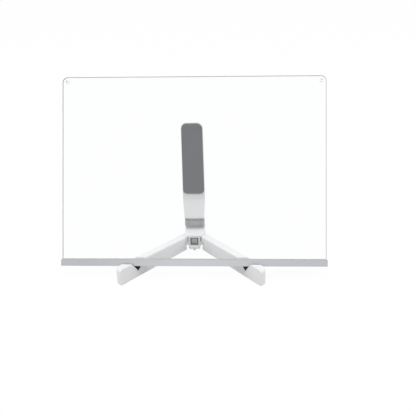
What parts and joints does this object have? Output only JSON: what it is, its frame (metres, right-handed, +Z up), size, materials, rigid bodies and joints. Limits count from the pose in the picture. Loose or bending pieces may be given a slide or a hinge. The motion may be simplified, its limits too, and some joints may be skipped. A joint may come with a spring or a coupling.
{
  "type": "led message board",
  "caption": "Clear acrylic message sheet edge-lit by an aluminium LED bar, leaning on a folding tripod stand with a padded arm.",
  "frame": {"origin": "on the floor under the hub, on the bottom face of its rear rubber foot, in the stand's middle plane", "axes": "+X to the right along the light bar, +Y to the back, +Z up; the written side of the sheet faces -Y and up"},
  "size_m": [0.299, 0.1273, 0.1999],
  "materials": {
    "clear_acrylic": "polished, clear",
    "silver_aluminium": "satin anodised",
    "cap_plastic": "satin grey",
    "white_plastic": "fine satin",
    "grey_silicone": "matt, soft",
    "black_rubber": "matt",
    "clear_silicone": "soft, translucent",
    "steel": "machined",
    "circuit_board": "lacquered",
    "white_circuit": "white lacquer",
    "led_yellow": "clear gel",
    "black_component": "moulded",
    "lock_grey": "satin lilac grey"
  },
  "bodies": {
    "hub": {"hub_body": "white_plastic", "hub_cover": "white_plastic", "hub_screws": "steel", "hub_foot": "black_rubber", "leg_pivot_pin_left": "steel", "leg_pivot_pin_right": "steel", "lock_spring": "steel", "window_frame": "black_component", "arm_hinge_pin": "steel", "hinge_washers": "black_component"},
    "left_leg": {"leg_shell_left": "white_plastic", "leg_cover_left": "white_plastic", "leg_screws_left": "steel", "leg_foot_left": "black_rubber", "notch_pad_left": "black_rubber"},
    "right_leg": {"leg_shell_right": "white_plastic", "leg_cover_right": "white_plastic", "leg_screws_right": "steel", "leg_foot_right": "black_rubber", "notch_pad_right": "black_rubber"},
    "arm": {"arm_shell": "white_plastic", "arm_cover": "white_plastic", "arm_screws": "steel", "arm_pad": "grey_silicone"},
    "light_bar": {"light_bar_channel": "silver_aluminium", "end_cap_left": "cap_plastic", "end_cap_right": "cap_plastic", "grip_strip_front": "clear_silicone", "grip_strip_back": "clear_silicone", "led_strip_board": "white_circuit", "led_chips": "led_yellow", "strip_resistors": "black_component", "control_housing": "silver_aluminium", "control_board": "circuit_board", "power_inlet": "steel", "power_switch": "black_component"},
    "sheet": {"acrylic_sheet": "clear_acrylic"},
    "power_button": {"power_button": "white_plastic"},
    "lock_button": {"lock_button": "lock_grey"}
  },
  "joints": [
    {"name": "board_lift", "type": "slide", "parent": "hub", "child": "light_bar", "axis": [0, 0, 1], "range_m": [0, 0.42]},
    {"name": "left_leg_fold", "type": "hinge", "parent": "hub", "child": "left_leg", "pos_m": [-0.0115, -0.007, 0.0085], "axis": [0, 0, 1], "range_deg": [0, 42.2]},
    {"name": "right_leg_fold", "type": "hinge", "parent": "hub", "child": "right_leg", "pos_m": [0.0115, -0.007, 0.0085], "axis": [0, 0, -1], "range_deg": [0, 42.2]},
    {"name": "arm_fold", "type": "hinge", "parent": "hub", "child": "arm", "pos_m": [0, 0.0072, 0.028], "axis": [1, 0, 0], "range_deg": [0, 95]},
    {"name": "sheet_slide", "type": "slide", "parent": "light_bar", "child": "sheet", "axis": [0, 0.5, 0.866], "range_m": [0, 0.006]},
    {"name": "power_button_press", "type": "slide", "parent": "light_bar", "child": "power_button", "axis": [0, -0.866, 0.5], "range_m": [0, 0.0006], "stiffness_N_per_m": 600, "springref_m": -0.0003},
    {"name": "lock_button_press", "type": "slide", "parent": "hub", "child": "lock_button", "axis": [0, 1, 0], "range_m": [0, 0.0015], "stiffness_N_per_m": 400, "springref_m": -0.0005}
  ],
  "couplings": [
    {"joint": "left_leg_fold", "follows": "board_lift", "rad_per_m": 1.7531},
    {"joint": "right_leg_fold", "follows": "board_lift", "rad_per_m": 1.7531},
    {"joint": "arm_fold", "follows": "board_lift", "rad_per_m": 3.9473}
  ]
}
